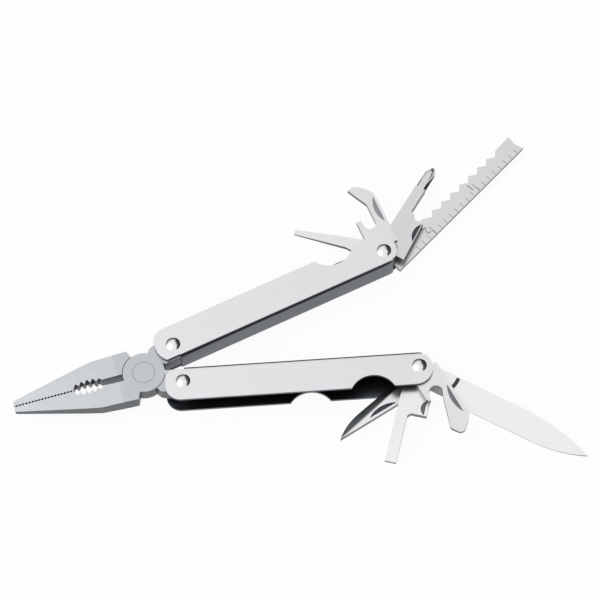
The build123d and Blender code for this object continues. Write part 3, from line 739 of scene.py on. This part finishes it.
@dataclass
class ToolSet:
    """The eight fold-out tools, each with its own marks: painted shade in the nail nicks and painted dark
    reflections on ground faces.
    """

    layout: Layout
    # Tones of the tools' side walls and rounded bends: painted shade and reflection by tilt.
    edge: Colour = (0.19, 0.195, 0.21)
    bend: Colour = (0.62, 0.62, 0.63)
    roughness: float = 0.27
    blue: float = 0.012
    # Face brightness per tool: one steel made lighter or darker per tool for how much light each catches, as
    # painted light and shade.
    brightness: dict[str, float] = field(default_factory=lambda: {
        "fish_scaler_ruler": 0.72, "phillips_driver": 0.70, "small_flat_driver": 0.81, "can_opener": 0.77,
        "knife_blade": 0.87, "small_blade": 0.84, "wide_flat_driver": 0.87, "bottle_opener": 0.79})

    def marks(self, tool: str) -> tuple[Mark, ...]:
        """Painted shade in a tool's nail nick and painted dark reflection on its ground faces, where it has
        them.
        """
        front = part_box(tool)[1][2] / MM
        nicks = (NICK_SHADES[tool].mark(front),) if tool in NICK_SHADES else ()
        ground = (PAINTED_REFLECTIONS[tool],) if tool in PAINTED_REFLECTIONS else ()
        return nicks + ground

    def build(self) -> None:
        """Dress every tool in brushed steel."""
        for tool, bright in self.brightness.items():
            steel = Steel(face=(bright, bright, bright + self.blue), edge=self.edge, bend=self.bend,
                          roughness=self.roughness, marks=self.marks(tool))
            finish(tool, steel.material(f"{tool}_steel", self.layout.tool(tool)))


# ---------------------------------------------------------------- studio
@dataclass
class Studio:
    """Pale floor, soft light and the camera. Lengths are in metres unless they say otherwise.

    Each pair for the room is the direction at which it changes and the softness of that step.
    """

    elevation: float = 64.44
    roll: float = 2.12
    distance: float = 1.2476
    lens: float = 194.13
    table_turn: float = 12.9
    pivot_from: Vector = field(default_factory=lambda: Vector((-60.15, -32.6, -0.9)) * MM)
    pivot_to: Vector = field(default_factory=lambda: Vector((-58.2805, 4.76258, 0.0)) * MM)
    floor_size: float = 4.0
    floor_white: float = 0.93
    floor_matt: float = 0.88
    horizon: float = 0.10
    zenith: float = 1.04
    zenith_from: tuple[float, float] = (0.42, 0.3)
    flag_right: tuple[float, float] = (0.38, 0.18)
    flag_top: tuple[float, float] = (0.84, 0.06)
    flag_depth: float = 0.92
    key_place: Vector = field(default_factory=lambda: Vector((-0.62, -0.12, 0.85)))
    key_power: float = 4.6
    key_size: float = 1.1

    def table(self) -> Matrix:
        """Matrix from the studio's axes, with the camera straight in front, to the row frame."""
        turn = Matrix.Rotation(math.radians(-self.table_turn), 4, "Z")
        return Matrix.Translation(self.pivot_to) @ turn @ Matrix.Translation(-self.pivot_from)

    def camera(self) -> None:
        """Camera that looks down on the object from the front."""
        data = bpy.data.cameras.new("camera")
        data.sensor_width = 36.0
        data.lens = self.lens
        data.clip_end = 20.0
        camera = bpy.data.objects.new("camera", data)
        bpy.context.scene.collection.objects.link(camera)
        rise, lean = math.radians(self.elevation), math.radians(self.roll)
        back = Vector((0, -math.cos(rise), math.sin(rise)))
        across, up = Vector((1, 0, 0)), Vector((0, math.sin(rise), math.cos(rise)))
        right = across * math.cos(lean) - up * math.sin(lean)
        top = across * math.sin(lean) + up * math.cos(lean)
        turn = Matrix((right, top, back)).transposed().to_4x4()
        camera.matrix_world = self.table() @ Matrix.Translation(back * self.distance) @ turn
        bpy.context.scene.camera = camera

    def floor(self) -> None:
        """Plain pale floor under the object."""
        mesh = bpy.data.meshes.new("floor")
        half = self.floor_size / 2
        corners = [(-half, -half, 0), (half, -half, 0), (half, half, 0), (-half, half, 0)]
        mesh.from_pydata(corners, [], [(0, 1, 2, 3)])
        floor = bpy.data.objects.new("floor", mesh)
        bpy.context.scene.collection.objects.link(floor)
        material = bpy.data.materials.new("pale_floor")
        material.use_nodes = True
        graph = Graph(material.node_tree)
        rays = graph.node("ShaderNodeLightPath").outputs
        seen = Wire(graph, rays["Is Camera Ray"]).peak(Wire(graph, rays["Is Glossy Ray"]))
        seen = seen.peak(Wire(graph, rays["Is Transmission Ray"])) * self.floor_white
        matt = graph.node("ShaderNodeBsdfDiffuse", None, {"Color": (*(self.floor_matt,) * 3, 1.0)})
        white = graph.node("ShaderNodeEmission", None, {"Color": (1.0, 1.0, 1.0, 1.0), "Strength": 1.0})
        shown = graph.node("ShaderNodeMixShader", None, {0: seen, 1: matt.outputs[0], 2: white.outputs[0]})
        graph.node("ShaderNodeOutputMaterial", None, {0: shown.outputs[0]})
        mesh.materials.append(material)

    def world(self) -> None:
        """Soft white room: bright overhead, darker low down and on the right."""
        world = bpy.data.worlds.new("soft_room")
        bpy.context.scene.world = world
        world.use_nodes = True
        graph = Graph(world.node_tree)
        direction = graph.node("ShaderNodeTexCoord").outputs["Generated"]
        parts = graph.node("ShaderNodeSeparateXYZ", None, {0: direction}).outputs
        right, height = Wire(graph, parts[0]), Wire(graph, parts[2])
        overhead = height.over(*self.zenith_from)
        flag = right.over(*self.flag_right) * (1 - height.over(*self.flag_top))
        level = (self.horizon + (self.zenith - self.horizon) * overhead) * (1 - self.flag_depth * flag)
        camera_ray = Wire(graph, graph.node("ShaderNodeLightPath").outputs["Is Camera Ray"])
        tone = graph.mix(level, (0.0, 0.0, 0.0), (1.0, 1.0, 1.0))
        tone = graph.mix(camera_ray, tone, (1.0, 1.0, 1.0))
        background = graph.node("ShaderNodeBackground", None, {"Color": tone, "Strength": 1.0})
        graph.node("ShaderNodeOutputWorld", None, {0: background.outputs[0]})

    def lamp(self) -> None:
        """One large soft lamp up on the left."""
        data = bpy.data.lights.new("key", "AREA")
        data.shape = "DISK"
        data.size = self.key_size
        data.energy = self.key_power
        lamp = bpy.data.objects.new("key", data)
        bpy.context.scene.collection.objects.link(lamp)
        aim = self.key_place.to_track_quat("Z", "Y").to_matrix().to_4x4()
        lamp.matrix_world = self.table() @ Matrix.Translation(self.key_place) @ aim

    def build(self) -> None:
        """Set everything up and fix how colours are shown."""
        self.camera()
        self.floor()
        self.world()
        self.lamp()
        bpy.context.scene.view_settings.view_transform = "Standard"


def main() -> None:
    """Build the studio and dress every piece."""
    logging.basicConfig(level=logging.INFO, format="%(name)s: %(message)s")
    layout = Layout(frame["record"])
    Studio().build()
    PliersHead(layout).dress()
    for side in Side:
        Handle(layout, side).build()
    ToolSet(layout).build()
    RulerMarks(layout).build()


if __name__ == "__main__":
    main()
